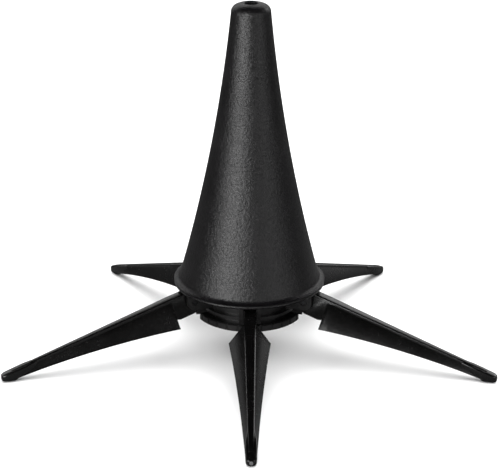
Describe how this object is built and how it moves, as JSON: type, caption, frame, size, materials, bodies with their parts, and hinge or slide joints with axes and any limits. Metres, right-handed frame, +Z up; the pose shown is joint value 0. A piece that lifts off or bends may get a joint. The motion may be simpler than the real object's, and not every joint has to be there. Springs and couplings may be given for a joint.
{
  "type": "folding in-bell instrument stand",
  "caption": "Folding stand for a cornet or trumpet: a hollow cone peg that goes up the bell, on a hub with spreading legs that fold down.",
  "frame": {"origin": "point on the floor straight below the cone's axis, with the stand opened out", "axes": "+Z up along the cone's axis, -Y along the front leg"},
  "size_m": [0.228, 0.217, 0.1688],
  "materials": {
    "cone_plastic": "black moulded plastic with a fine even grain, satin sheen",
    "leg_plastic": "black moulded plastic, smooth satin",
    "hub_plastic": "black moulded plastic, smooth satin",
    "rubber": "soft black rubber",
    "steel": "zinc-plated steel fastener",
    "pin_steel": "blackened steel pin"
  },
  "bodies": {
    "base": {"hub_body": "hub_plastic", "base_flange": "hub_plastic", "cone_plug": "hub_plastic", "grip_ring": "rubber", "centre_screw": "steel", "centre_washer": "steel", "centre_nut": "steel", "pivot_pin_front": "pin_steel", "pivot_pin_right": "pin_steel", "pivot_pin_back_right": "pin_steel", "pivot_pin_back_left": "pin_steel", "pivot_pin_left": "pin_steel"},
    "cone": {"cone": "cone_plastic"},
    "leg_front": {"leg_front": "leg_plastic", "foot_front": "rubber"},
    "leg_right": {"leg_right": "leg_plastic", "foot_right": "rubber"},
    "leg_back_right": {"leg_back_right": "leg_plastic", "foot_back_right": "rubber"},
    "leg_back_left": {"leg_back_left": "leg_plastic", "foot_back_left": "rubber"},
    "leg_left": {"leg_left": "leg_plastic", "foot_left": "rubber"}
  },
  "joints": [
    {"name": "front_fold", "type": "hinge", "parent": "base", "child": "leg_front", "pos_m": [0, -0.028, 0.0295], "axis": [1, 0, 0], "range_deg": [0, 80]},
    {"name": "right_fold", "type": "hinge", "parent": "base", "child": "leg_right", "pos_m": [0.02663, -0.00865, 0.0295], "axis": [0.309, 0.9511, 0], "range_deg": [0, 80]},
    {"name": "back_right_fold", "type": "hinge", "parent": "base", "child": "leg_back_right", "pos_m": [0.01646, 0.02265, 0.0295], "axis": [-0.809, 0.5878, 0], "range_deg": [0, 80]},
    {"name": "back_left_fold", "type": "hinge", "parent": "base", "child": "leg_back_left", "pos_m": [-0.01646, 0.02265, 0.0295], "axis": [-0.809, -0.5878, 0], "range_deg": [0, 80]},
    {"name": "left_fold", "type": "hinge", "parent": "base", "child": "leg_left", "pos_m": [-0.02663, -0.00865, 0.0295], "axis": [0.309, -0.9511, 0], "range_deg": [0, 80]},
    {"name": "cone_lift", "type": "slide", "parent": "base", "child": "cone", "axis": [0, 0, 1], "range_m": [0, 0.04]}
  ]
}
